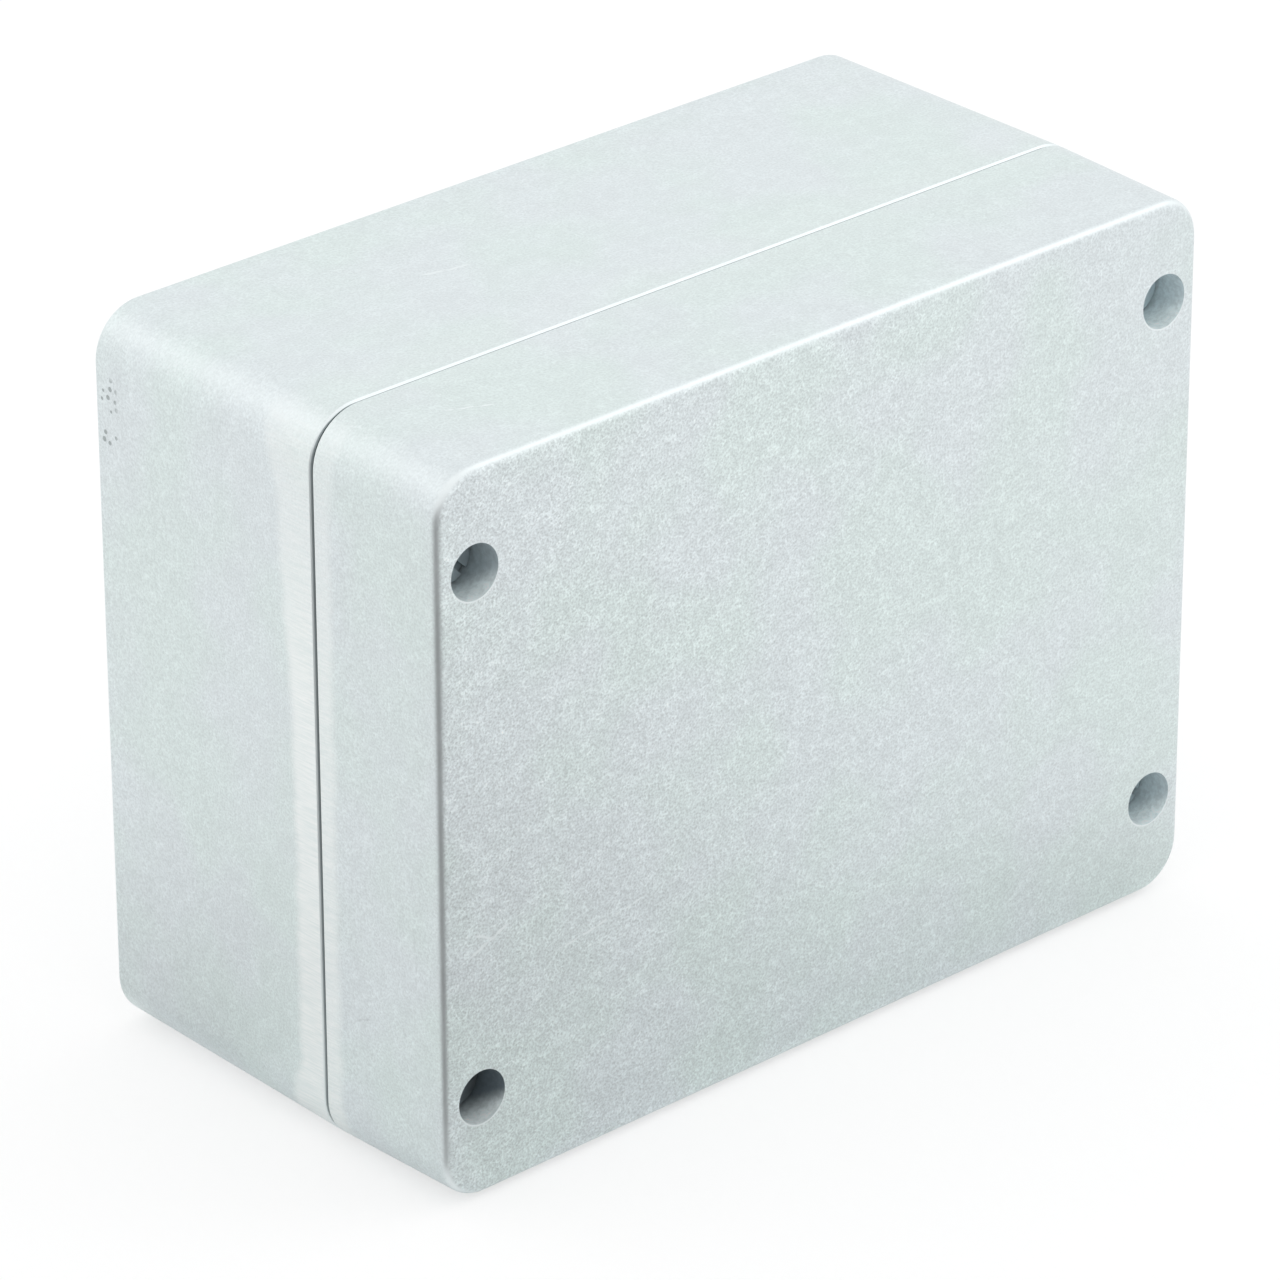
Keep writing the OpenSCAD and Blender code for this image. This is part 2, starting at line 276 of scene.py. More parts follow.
card("black_card_upright", BLACK_CARD,
     [(-96, -102, 0), (-144, -50, 0), (-144, -50, 125), (-96, -102, 125)])
card("black_card_flat", BLACK_CARD, [(-84, -44), (-96, -102), (-144, -50)])
card("grey_card_front", 0.75,
     [(-80, -42), (84, -42), (105, -68), (20, -74),
      (55, -190), (-60, -300), (-100, -110), (-82, -46)])
card("grey_card_left", 0.60,
     [(-60, -70, 1), (-10, -82, 1), (42, -157, 1), (10, -175, 1), (-70, -120, 1)])
card("grey_card_end", 0.72, [(-82, 8), (-82, 60), (-125, 90), (-125, 35)])

# %% [markdown]
# All finishes are made of a few patterns: soft noise, the same noise drawn out along a line, the
# highest of several masks, and a range that follows the noise. They read Object coordinates, so
# they stay on the metal whatever the light or the view.

# %% Noise and masks
NOISE_LOW, NOISE_HIGH = 0.3, 0.7


def noise(tree, where, size, detail=2.0, roughness=0.5):
    """Soft noise about 0.5 whose patches are about size metres across."""
    made = add(tree, "TexNoise", Vector=where, Scale=1 / size, Detail=detail, Roughness=roughness)
    return made.outputs["Fac"]


def sway(tree, value, low=0.0, high=1.0):
    """low to high, softly, as noise goes over the range that it mostly keeps to."""
    return spread(tree, value, NOISE_LOW, NOISE_HIGH, low, high)


def stretched(tree, where, x=1.0, y=1.0, z=1.0, turn=(0, 0, 0)):
    """where, turned and then scaled along each axis, so that a pattern on it is drawn out."""
    turned = add(tree, "Mapping", Vector=where, Rotation=turn).outputs[0]
    return add(tree, "Mapping", Vector=turned, Scale=(x, y, z)).outputs[0]


def strongest(tree, *masks):
    """The highest of several masks."""
    best = masks[0]
    for mask in masks[1:]:
        best = calc(tree, "MAXIMUM", best, mask)
    return best


def times(tree, *factors):
    """The product of several masks or numbers."""
    product = factors[0]
    for factor in factors[1:]:
        product = calc(tree, "MULTIPLY", product, factor)
    return product


print("noise is taken to run from", NOISE_LOW, "to", NOISE_HIGH)

# %% [markdown]
# Many marks run along the surface, so they need flat coordinates on each face. `face_plane` picks
# them by the way the surface faces: x and z on the front and back, y and z on the ends, x and y on
# the top and bottom. The ends and the level faces are also moved to their own place in the pattern.

# %% Flat coordinates on each face
END_SHIFT, TOP_SHIFT = 0.61, 0.37


def facing(tree):
    """How far the surface faces along X, Y and Z, each 0..1."""
    normal = add(tree, "SeparateXYZ", Vector=add(tree, "TexCoord").outputs["Normal"])
    return [calc(tree, "ABSOLUTE", normal.outputs[i]) for i in range(3)]


def face_plane(tree, where):
    """(u, v, 0) on the face that the surface belongs to, in metres, from Object coordinates, with
    END_SHIFT added to u on the ends and TOP_SHIFT on the top and bottom."""
    across, deep, high = facing(tree)
    end = calc(tree, "GREATER_THAN", across, strongest(tree, deep, high))
    level = calc(tree, "GREATER_THAN", high, strongest(tree, deep, across))
    place = add(tree, "SeparateXYZ", Vector=where)
    u = spread(tree, end, 0, 1, place.outputs["X"], place.outputs["Y"], soft=False)
    v = spread(tree, level, 0, 1, place.outputs["Z"], place.outputs["Y"], soft=False)
    shift = calc(tree, "ADD", times(tree, end, END_SHIFT), times(tree, level, TOP_SHIFT))
    return add(tree, "CombineXYZ", X=calc(tree, "ADD", u, shift), Y=v).outputs[0]


print("pattern moved by", END_SHIFT, "m on the ends and", TOP_SHIFT, "m on the top and bottom")

# %% [markdown]
# Castings that have been tumbled with ceramic chips carry countless tiny knocks. Two patterns give
# them: `specks` puts one small dot in some cells of an irregular grid, and `hairlines` puts one
# short straight scratch in some cells, each at its own angle. Both are 1 on a mark and 0 elsewhere.

# %% Specks and hairline scratches
def cells(tree, plane, size, offset):
    """An irregular grid, moved by offset: the coordinates it is laid on, its node, and three random
    numbers of each cell."""
    where = add(tree, "Mapping", Vector=plane, Location=(offset, offset * 0.7, 0)).outputs[0]
    grid = add(tree, "TexVoronoi", {"voronoi_dimensions": "2D"}, Vector=where, Scale=1 / size)
    chance = add(tree, "SeparateColor", Color=grid.outputs["Color"])
    return where, grid, [chance.outputs[i] for i in range(3)]


def specks(tree, plane, spacing, radius, share, offset=0.0):
    """1 inside a dot of 0.35 to 1.35 times the given radius, in that share of the cells."""
    _, grid, chance = cells(tree, plane, spacing, offset)
    reach = times(tree, calc(tree, "ADD", chance[1], 0.35), radius / spacing)
    dot = spread(tree, calc(tree, "DIVIDE", grid.outputs["Distance"], reach), 0.6, 1.0, 1.0, 0.0)
    return times(tree, dot, calc(tree, "LESS_THAN", chance[0], share))


def hairlines(tree, plane, spacing, length, width, share, offset=0.0):
    """1 on a straight scratch through a cell's point, fading to its ends: the way from that point
    is turned by a random angle and set against the length along X and the width along Y. A scratch
    has 0.3 to 1 times the given length, and the given share of the cells has one."""
    where, grid, chance = cells(tree, plane, spacing, offset)
    scaled = add(tree, "VectorMath", {"operation": "SCALE"}, Vector=where, Scale=1 / spacing)
    apart = add(tree, "VectorMath", {"operation": "SUBTRACT"}, Vector=scaled.outputs[0])
    tree.links.new(grid.outputs["Position"], apart.inputs[1])
    angle = times(tree, chance[1], 2 * math.pi)
    turned = add(tree, "VectorRotate", {"rotation_type": "Z_AXIS"}, Vector=apart.outputs[0],
                 Angle=angle)
    along = add(tree, "SeparateXYZ", Vector=turned.outputs[0])
    part = spread(tree, chance[2], 0, 1, 0.3, 1.0, soft=False)
    reach = times(tree, part, length / spacing / 2)
    run = calc(tree, "DIVIDE", calc(tree, "ABSOLUTE", along.outputs["X"]), reach)
    off = calc(tree, "DIVIDE", calc(tree, "ABSOLUTE", along.outputs["Y"]), width / spacing / 2)
    line = times(tree, spread(tree, off, 0.4, 1.0, 1.0, 0.0), spread(tree, run, 0.5, 1.0, 1.0, 0.0))
    return times(tree, line, calc(tree, "LESS_THAN", chance[0], share))


print("patterns of knocks: specks, hairlines")

# %% [markdown]
# Most of the tumbling strokes are thin and curved, like felt. `ridges` makes them from a soft
# noise: the places where it passes its middle value are long winding lines, and a second noise
# breaks these up. Single scratches that the box got in its life are laid one by one with `scratch`.

# %% Felted strokes and single scratches
CROOK_SIZE, CROOK = 2.5 * MM, 0.3 * MM
WORN_SIZE = 2.2 * MM
SCRATCH_END = 1.2 * MM


def ridges(tree, where, size, width):
    """1 where a soft noise of patches about size across passes its middle value, 0 from width off
    it, with the lines broken into pieces by a coarser noise."""
    off = calc(tree, "ABSOLUTE", calc(tree, "SUBTRACT", noise(tree, where, size, 1.0, 0.4), 0.5))
    pieces = spread(tree, noise(tree, where, 2.3 * size, 1.0), 0.42, 0.6)
    return times(tree, spread(tree, off, 0.0, width, 1.0, 0.0), pieces)


def scratch(tree, plane, start, end, width, shift=0.0, faint=0.15):
    """1 on a slightly crooked scratch between two points of a face, given in millimetres from its
    middle along its two axes. It is the distance from the line between them, plus a noise, set
    against width. shift is the face's own place in the pattern; faint is the strength of the
    scratch where it is worn away."""
    start, end = (Vector((p[0] * MM + shift, p[1] * MM)) for p in (start, end))
    turn = -math.atan2(end.y - start.y, end.x - start.x)
    origin = Matrix.Rotation(turn, 2) @ start
    laid = add(tree, "Mapping", Vector=plane, Rotation=(0, 0, turn),
               Location=(-origin.x, -origin.y, 0))
    along = add(tree, "SeparateXYZ", Vector=laid.outputs[0])
    crook = spread(tree, noise(tree, plane, CROOK_SIZE), 0.2, 0.8, -CROOK, CROOK, soft=False)
    off = calc(tree, "ABSOLUTE", calc(tree, "ADD", along.outputs["Y"], crook))
    left = calc(tree, "SUBTRACT", (end - start).length, along.outputs["X"])
    to_end = calc(tree, "MINIMUM", along.outputs["X"], left)
    worn = spread(tree, noise(tree, plane, WORN_SIZE, 1.0), 0.42, 0.52, faint, 1.0)
    line = spread(tree, off, 0.3 * width, width, 1.0, 0.0)
    return times(tree, line, spread(tree, to_end, 0.0, SCRATCH_END), worn)


print("patterns of strokes: ridges, scratch")

# %% [markdown]
# The alloy itself is a pale, cool grey with a satin gloss. Its hue drifts a little from place to
# place, between a bluish and a greenish grey, in clouds of one to three centimetres. Over them lies
# a grain of about 0.4 mm and the felt of tumbling strokes. The flat front shows these marks most,
# so their strength follows the way the surface faces.

# %% The bare alloy
ALLOY = (0.750, 0.806, 0.823, 1)
ALLOY_GREEN = (0.735, 0.814, 0.805, 1)
ALLOY_BRIGHT = (0.88, 0.935, 0.945, 1)
CAST_METALLIC = 0.85
CAST_ROUGHNESS = (0.46, 0.50)
CLOUD_SIZE = 26 * MM
PATCH_SIZE, PATCH_SHADE = 7 * MM, 0.012
GRAIN_SIZE, GRAIN_DARK, GRAIN_LIGHT = 0.39 * MM, -0.20, 0.16
FELT_SIZE, FINE_FELT_SIZE, FELT_LIGHT = 1.5 * MM, 1.0 * MM, 0.11
GRAIN_DEPTH, STROKE_DEPTH = 0.02 * MM, 0.006 * MM
WEAR_TOP, WEAR_ENDS = 0.48, 0.66


def start_metal(name, metallic):
    """A new material with its tree, its main shader, and Object coordinates from MIDDLE."""
    made = bpy.data.materials.new(name)
    made.use_nodes = True
    tree = made.node_tree
    tree.nodes.clear()
    shader = add(tree, "BsdfPrincipled", Metallic=metallic)
    add(tree, "OutputMaterial", Surface=shader.outputs[0])
    from_origin = add(tree, "TexCoord").outputs["Object"]
    place = add(tree, "Mapping", Vector=from_origin, Location=tuple(-MIDDLE))
    return made, tree, shader, place.outputs[0]


def relief(tree, shader, *layers):
    """Stacks bump layers, each a (height 0..1, depth in metres, strength), into the shader."""
    last = None
    for height, depth, strength in layers:
        bump = add(tree, "Bump", Height=height, Distance=depth, Strength=strength)
        if last is not None:
            tree.links.new(last, bump.inputs["Normal"])
        last = bump.outputs[0]
    tree.links.new(last, shader.inputs["Normal"])


def lighter(tree, colour, share):
    """The colour made lighter by a share of itself, or darker if the share is below 0."""
    lit = add(tree, "VectorMath", {"operation": "SCALE"}, Scale=calc(tree, "ADD", share, 1.0))
    tree.links.new(colour, lit.inputs[0])
    return lit.outputs[0]


def cast_skin(tree, where, wear):
    """The alloy's colour with its clouds, grain and felt; the grain; and the patches. wear scales
    the grain and the felt."""
    clouds = noise(tree, where, CLOUD_SIZE)
    patches = noise(tree, where, PATCH_SIZE)
    grain = noise(tree, where, GRAIN_SIZE, roughness=0.6)
    slanted = stretched(tree, where, x=0.6, turn=(0, 0.4, 0))
    felt = strongest(
        tree,
        ridges(tree, where, FELT_SIZE, 0.06),
        ridges(tree, slanted, FINE_FELT_SIZE, 0.07),
    )
    colour = tint(tree, spread(tree, clouds, 0.38, 0.62), ALLOY, ALLOY_GREEN)
    grained = spread(tree, grain, 0.25, 0.75, GRAIN_DARK, GRAIN_LIGHT, soft=False)
    marks = calc(tree, "ADD", grained, times(tree, felt, FELT_LIGHT))
    patched = sway(tree, patches, -PATCH_SHADE, PATCH_SHADE)
    shade = calc(tree, "ADD", patched, times(tree, marks, wear))
    return lighter(tree, colour, shade), grain, patches


def side_wear(tree):
    """Strength of the marks off the front: stronger on the ends than on the top and bottom."""
    return spread(tree, facing(tree)[0], 0.3, 0.8, WEAR_TOP, WEAR_ENDS)


print("alloy", ALLOY[:3], "to", ALLOY_GREEN[:3])

# %% [markdown]
# Tumbling rubs a casting most where it bends from one face to the next, so the edges are paler,
# the front ones more than the others, and bright specks gather on them. Part of this paleness and
# of the specks is a painted highlight: the sheen and glints of the rounded edges. A surface that
# faces straight along one axis has no bend, and the bend grows as it turns away.

# %% Rubbed edges and painted edge sheen
POLISH_AND_SHEEN_SIDES, POLISH_AND_SHEEN_FRONT = 0.35, 0.8
RUB_AND_GLINT_SPACING, RUB_AND_GLINT_RADIUS, RUB_AND_GLINT_LIGHT = 0.62 * MM, 0.22 * MM, 0.45


def worn_edges_and_painted_sheen(tree, plane, colour):
    """The colour, paler by the bend from rubbing and from painted sheen: 1 minus the largest of the
    three ways it faces.
    """
    faces = facing(tree)
    bend = calc(tree, "SUBTRACT", 1.0, strongest(tree, *faces))
    most = spread(tree, faces[1], 0.1, 0.5, POLISH_AND_SHEEN_SIDES, POLISH_AND_SHEEN_FRONT)
    colour = tint(tree, spread(tree, bend, 0.03, 0.27, 0.0, most), colour, ALLOY_BRIGHT)
    # Bright specks on the bends: rubbed metal and painted glints.
    rub_and_glint = specks(tree, plane, RUB_AND_GLINT_SPACING, RUB_AND_GLINT_RADIUS, 0.5, 0.31)
    rub_and_glint = times(tree, rub_and_glint, spread(tree, bend, 0.02, 0.12, 0.0, RUB_AND_GLINT_LIGHT))
    return tint(tree, rub_and_glint, colour, ALLOY_BRIGHT)


# The paler edges are rubbed metal and painted sheen.
print("edges polished by", POLISH_AND_SHEEN_SIDES, "at the sides and", POLISH_AND_SHEEN_FRONT, "at the front")

# %% [markdown]
# Both castings are dressed beside the parting line on a belt, which leaves a paler band of fine
# strokes that run across the joint. On the ends the band is plain to see. It is wider at the top
# than half way down, and it flares where the belt wraps round the corners. On the top and bottom it
# is almost gone.

# %% The dressed band
BELT_DARK = (0.85, 0.905, 0.90, 1)
BELT_LIGHT = (0.96, 0.985, 0.975, 1)
FLARE_START, FLARE_FULL = 14 * MM, 2 * MM
BAND_FADE_INSIDE, BAND_FADE_OUTSIDE = 1.7 * MM, 0.9 * MM
BAND_EDGE_SIZE, BAND_EDGE = 8 * MM, 0.7 * MM
BAND_ON_TOP = 0.12
BELT_STROKE = 0.3 * MM


def from_seam(tree, where):
    """Distance from the parting plane, in metres."""
    return calc(tree, "ABSOLUTE", add(tree, "SeparateXYZ", Vector=where).outputs["Y"])


def levelness(tree):
    """1 on the top and bottom, -1 on the ends, with all values between at the bends."""
    across, _, level = facing(tree)
    return calc(tree, "SUBTRACT", level, across)


def dressed_band(tree, where, width, widening, flare):
    """1 within width of the parting plane, plus widening towards the top and flare at the corners,
    with an uneven edge; and the belt's strokes, about 0.5, drawn out along the depth."""
    place = add(tree, "SeparateXYZ", Vector=where)
    to_end = calc(tree, "SUBTRACT", HALF_W, calc(tree, "ABSOLUTE", place.outputs["X"]))
    to_side = calc(tree, "SUBTRACT", HALF_H, calc(tree, "ABSOLUTE", place.outputs["Z"]))
    to_corner = strongest(tree, to_end, to_side)
    flared = spread(tree, to_corner, FLARE_FULL, FLARE_START, width + flare, width, soft=False)
    widened = spread(tree, place.outputs["Z"], 0.0, HALF_H, 0.0, widening)
    uneven = noise(tree, stretched(tree, where, y=0.3), BAND_EDGE_SIZE, roughness=0.6)
    uneven = spread(tree, uneven, 0.2, 0.8, -BAND_EDGE, BAND_EDGE, soft=False)
    reach = calc(tree, "ADD", calc(tree, "ADD", flared, widened), uneven)
    off = calc(tree, "SUBTRACT", from_seam(tree, where), reach)
    band = spread(tree, off, -BAND_FADE_INSIDE, BAND_FADE_OUTSIDE, 1.0, 0.0)
    seen = spread(tree, levelness(tree), -0.3, 0.6, 1.0, BAND_ON_TOP)
    worn = spread(tree, place.outputs["Z"], 0.2 * HALF_H, 0.9 * HALF_H, 1.0, 0.5)
    drawn_out = stretched(tree, where, y=0.04, turn=(0.05, 0, 0.05))
    return times(tree, band, seen, worn), noise(tree, drawn_out, BELT_STROKE, roughness=0.6)


def dress(tree, where, colour, share, width, widening, flare):
    """The colour with the dressed band laid on it by the given share; and the belt's strokes."""
    band, strokes = dressed_band(tree, where, width, widening, flare)
    ground = tint(tree, sway(tree, strokes), BELT_DARK, BELT_LIGHT)
    return tint(tree, times(tree, band, share), colour, ground), strokes


print("band from", BELT_DARK[:3], "to", BELT_LIGHT[:3])

# %% [markdown]
# In the joint itself a dark line of painted shade is laid. On the top and bottom the line is a
# third as wide. It goes over every other mark of a casting, so the
# function that lays it also plugs the finished colour in.

# %% Painted shade in the seam
SEAM_SHADE_PAINT = (0.13, 0.165, 0.175, 1)
SEAM_SHADE_WIDTH, SEAM_SHADE_SHARE = 0.30 * MM, 0.8


def painted_seam_shade(tree, where):
    """1 at the parting plane, 0 from SEAM_SHADE_WIDTH on, or from a third of it on the level faces."""
    width = spread(tree, levelness(tree), -0.2, 0.4, SEAM_SHADE_WIDTH, SEAM_SHADE_WIDTH / 3)
    return spread(tree, from_seam(tree, where), times(tree, width, 0.35), width, 1.0, 0.0)


def close_casting(tree, shader, where, colour, patches):
    """Lays the painted seam shade on the colour and plugs in the casting's colour and roughness."""
    # Painted shade in the joint between the castings.
    seam_shade = times(tree, painted_seam_shade(tree, where), SEAM_SHADE_SHARE)
    tree.links.new(tint(tree, seam_shade, colour, SEAM_SHADE_PAINT), shader.inputs["Base Color"])
    tree.links.new(sway(tree, patches, *CAST_ROUGHNESS), shader.inputs["Roughness"])


print("seam_shade", round(2 * SEAM_SHADE_WIDTH / MM, 2), "mm wide over both castings")

# %% [markdown]
# The base: tumbled skin with a faint grain that runs up the sides, the dressed band, and a few
# small dark blow holes on the left end close to its back edge, where the metal cooled last.

# %% Finish of the base
PIT_DARK = (0.34, 0.38, 0.38, 1)
PIT_SPACING, PIT_RADIUS, PIT_DEPTH = 1.5 * MM, 0.42 * MM, 0.15 * MM
BASE_BAND, BASE_WIDENING, BASE_FLARE = 6.1 * MM, 2.8 * MM, 3.6 * MM
WIPE_SIZE, WIPE_LIGHT = 0.6 * MM, 0.15


def within(tree, value, start, full, fade, end):
    """0 up to start, 1 from full to fade, and 0 again from end on, all in millimetres."""
    rise = spread(tree, value, start * MM, full * MM)
    return times(tree, rise, spread(tree, value, fade * MM, end * MM, 1.0, 0.0))


def blow_holes(tree, where, plane):
    """1 in the small holes of a patch on the left end, set off from the back edge and the top."""
    place = add(tree, "SeparateXYZ", Vector=where)
    to_back = calc(tree, "SUBTRACT", BASE_DEPTH, place.outputs["Y"])
    to_top = calc(tree, "SUBTRACT", HALF_H, place.outputs["Z"])
    return times(
        tree,
        specks(tree, plane, PIT_SPACING, PIT_RADIUS, 0.6, 0.17),
        within(tree, to_back, 0.9, 1.9, 4.9, 6.4),
        within(tree, to_top, 9.5, 11.5, 21.5, 23.5),
        calc(tree, "LESS_THAN", place.outputs["X"], 0.0),
    )


def base_alloy():
    """Skin, upright grain, dressed band, a few scratches, rubbed edges with painted sheen, blow
    holes and painted seam shade.
    """
    made, tree, shader, where = start_metal("base_alloy", CAST_METALLIC)
    plane = face_plane(tree, where)
    colour, grain, patches = cast_skin(tree, where, side_wear(tree))
    upright = stretched(tree, where, z=0.16, turn=(0.25, 0.25, 0))
    wipe = noise(tree, upright, WIPE_SIZE, roughness=0.6)
    colour = tint(tree, spread(tree, wipe, 0.45, 0.75, 0.0, WIPE_LIGHT), colour, ALLOY_BRIGHT)
    colour, strokes = dress(tree, where, colour, 0.9, BASE_BAND, BASE_WIDENING, BASE_FLARE)
    scratches = strongest(
        tree,
        times(tree, hairlines(tree, plane, 11 * MM, 6 * MM, 0.12 * MM, 0.4, 0.11), 0.5),
        scratch(tree, plane, (-34.5, 28.3), (-25.8, 26.2), 0.35 * MM, TOP_SHIFT),
    )
    colour = tint(tree, times(tree, scratches, 0.7), colour, ALLOY_BRIGHT)
    colour = worn_edges_and_painted_sheen(tree, plane, colour)
    pits = blow_holes(tree, where, plane)
    colour = tint(tree, times(tree, pits, 0.8), colour, PIT_DARK)
    close_casting(tree, shader, where, colour, patches)
    relief(
        tree,
        shader,
        (grain, GRAIN_DEPTH, 0.5),
        (strokes, STROKE_DEPTH, 0.3),
        (calc(tree, "SUBTRACT", 1.0, pits), PIT_DEPTH, 0.6),
    )
    return made


finishes = {"base_alloy": base_alloy()}
print("base_alloy:", len(finishes["base_alloy"].node_tree.nodes), "nodes")

# %% [markdown]
# The lid's flat front takes most of the handling, so it has more knocks and hairlines than the
# rest, and a few scratches that were laid one by one. The knocks are of four sizes, from specks to
# long faint lines.

# %% Marks of handling on the lid
KNOCK_SPACING, KNOCK_RADIUS = 1.9 * MM, 0.18 * MM
# Spacing, length and width in metres; share of the cells; offset of the grid; strength.
HAIRLINES = [
    (1.3 * MM, 1.7 * MM, 0.13 * MM, 0.7, 0.07, 0.4),
    (6 * MM, 4 * MM, 0.14 * MM, 0.5, 0.11, 0.6),
    (19 * MM, 15 * MM, 0.15 * MM, 0.5, 0.23, 0.55),
]


def handling(tree, plane, wear):
    """Specks and the sets of HAIRLINES, each with its own strength, all scaled by wear."""
    knocks = times(tree, specks(tree, plane, KNOCK_SPACING, KNOCK_RADIUS, 0.2), 0.8)
    lines = [times(tree, hairlines(tree, plane, *shape), light) for *shape, light in HAIRLINES]
    return times(tree, strongest(tree, knocks, *lines), wear, 0.7)


def lid_scratches(tree, plane):
    """Three scratches on the front, two of them in a V near its left side, and one on the top."""
    return strongest(
        tree,
        scratch(tree, plane, (-73.2, -16.0), (-68.3, -18.3), 0.30 * MM, faint=0.7),
        scratch(tree, plane, (-74.2, -19.9), (-65.8, -16.4), 0.30 * MM, faint=0.7),
        scratch(tree, plane, (-56.6, -24.7), (-37.5, -21.8), 0.24 * MM),
        scratch(tree, plane, (-63.3, -10.9), (-55.4, -14.2), 0.2 * MM, TOP_SHIFT),
    )


print("marks of the lid: handling, lid_scratches")

# %% [markdown]
# The screw recesses are drilled. Their colour carries painted shade: lighter at the top right and
# darker towards the lower left, darkest under the top of each rim and deep down. A painted
# highlight runs as a thin bright line along the lower half of each rim. All four stand at the same
# distance from the middle, so folding the coordinates with an absolute value puts every recess on
# the same axis.

# %% The screw recesses
RECESS_LIGHT = (0.90, 0.985, 0.99, 1)
RECESS_LESS_SHADED = (0.63, 0.72, 0.75, 1)
RECESS_SHADED = (0.15, 0.185, 0.21, 1)
RECESS_METALLIC = 0.15
RECESS_R = 4.6 * MM
RIM_HIGHLIGHT_OFF, RIM_HIGHLIGHT_FULL, RIM_HIGHLIGHT_END = 0.12 * MM, 0.06 * MM, 0.22 * MM
BLOTCH_SIZE, BLOTCH_SHADE = 0.9 * MM, 0.12


def from_screw(tree, where):
    """Distance from the axis of the nearest lid screw, the root of the sum of the squares of its
    two parts; and the part along Z, counted away from the middle."""
    place = add(tree, "SeparateXYZ", Vector=where)
    aside = calc(tree, "SUBTRACT", calc(tree, "ABSOLUTE", place.outputs["X"]), SCREW_X)
    away = calc(tree, "SUBTRACT", calc(tree, "ABSOLUTE", place.outputs["Z"]), SCREW_Z)
    squares = (calc(tree, "POWER", part, 2.0) for part in (aside, away))
    return calc(tree, "SQRT", calc(tree, "ADD", *squares)), away


def lower_left_shade(tree, where):
    """Colour deep in the recesses, in painted shade from lighter at the top right to darker at the
    lower left.
    """
    place = add(tree, "SeparateXYZ", Vector=where)
    corner = calc(tree, "ADD", place.outputs["X"], place.outputs["Z"])
    reach = SCREW_X + SCREW_Z
    # Painted shade: darker towards the lower left.
    less_shaded = spread(tree, corner, -0.86 * reach, 0.35 * reach, soft=False)
    return tint(tree, less_shaded, RECESS_SHADED, RECESS_LESS_SHADED)


def drill_recesses(tree, where, front, colour):
    """The colour with a painted highlight on the rim of each recess and the drilled metal in it,
    in painted shade that is darker with height over the axis and with depth; and 1 inside a
    recess, 0 elsewhere."""
    place = add(tree, "SeparateXYZ", Vector=where)
    radius, away = from_screw(tree, where)
    over = times(tree, away, calc(tree, "SIGN", place.outputs["Z"]))
    depth = calc(tree, "ADD", place.outputs["Y"], LID_DEPTH)
    # Painted highlight: a thin bright line along the lower half of each rim, on the front.
    off_rim_highlight = calc(tree, "ABSOLUTE", calc(tree, "SUBTRACT", radius, RECESS_R + RIM_HIGHLIGHT_OFF))
    rim_highlight = spread(tree, off_rim_highlight, RIM_HIGHLIGHT_FULL, RIM_HIGHLIGHT_END, 1.0, 0.0)
    low_half = spread(tree, over, -RECESS_R, 0.0, 0.9, 0.1)
    colour = tint(tree, times(tree, rim_highlight, front, low_half), colour, ALLOY_BRIGHT)
    inside = times(
        tree,
        calc(tree, "LESS_THAN", radius, RECESS_R + 0.05 * MM),
        calc(tree, "GREATER_THAN", depth, 0.02 * MM),
    )
    # Painted shade: darker with height over the axis and with depth.
    hidden = calc(tree, "ADD", over, times(tree, depth, 0.6))
    hidden = spread(tree, hidden, -0.72 * RECESS_R, 0.1 * RECESS_R)
    drilled = tint(tree, hidden, RECESS_LIGHT, lower_left_shade(tree, where))
    blotches = sway(tree, noise(tree, where, BLOTCH_SIZE, 3, 0.6), -BLOTCH_SHADE, BLOTCH_SHADE)
    return tint(tree, inside, colour, lighter(tree, drilled, blotches)), inside


print("recesses of radius", round(RECESS_R / MM, 2), "mm")

# %% [markdown]
# The lid: the same skin as the base, with its marks of handling, a faint dressed band and the
# drilled recesses. The marks grow from the right of the front to its left.

# %% Finish of the lid
WEAR_LEFT, WEAR_RIGHT = 1.38, 0.74
LID_BAND, LID_WIDENING, LID_FLARE = 4.2 * MM, 0.5 * MM, 0.8 * MM


def lid_alloy():
    """Skin, faint dressed band, marks of handling, rubbed edges with painted sheen, screw recesses
    with painted shade and highlight, and painted seam shade.
    """
    made, tree, shader, where = start_metal("lid_alloy", CAST_METALLIC)
    plane = face_plane(tree, where)
    place = add(tree, "SeparateXYZ", Vector=where)
    front = spread(tree, facing(tree)[1], 0.7, 0.95)
    handled = spread(tree, place.outputs["X"], -HALF_W, HALF_W, WEAR_LEFT, WEAR_RIGHT, soft=False)
    wear = spread(tree, front, 0, 1, side_wear(tree), handled)
    colour, grain, patches = cast_skin(tree, where, wear)
    colour, strokes = dress(tree, where, colour, 0.7, LID_BAND, LID_WIDENING, LID_FLARE)
    marks = strongest(tree, handling(tree, plane, wear), lid_scratches(tree, plane))
    colour = worn_edges_and_painted_sheen(tree, plane, tint(tree, marks, colour, ALLOY_BRIGHT))
    scuff = scratch(tree, plane, (-7.2, -37.0), (-11.2, -34.8), 0.25 * MM, END_SHIFT)
    colour = lighter(tree, colour, times(tree, scuff, -0.12))
    colour, inside = drill_recesses(tree, where, front, colour)
    metallic = spread(tree, inside, 0, 1, CAST_METALLIC, RECESS_METALLIC)
    tree.links.new(metallic, shader.inputs["Metallic"])
    close_casting(tree, shader, where, colour, patches)
    relief(tree, shader, (grain, GRAIN_DEPTH, 0.6), (strokes, STROKE_DEPTH, 0.2))
    return made


finishes["lid_alloy"] = lid_alloy()
print("lid_alloy:", len(finishes["lid_alloy"].node_tree.nodes), "nodes")

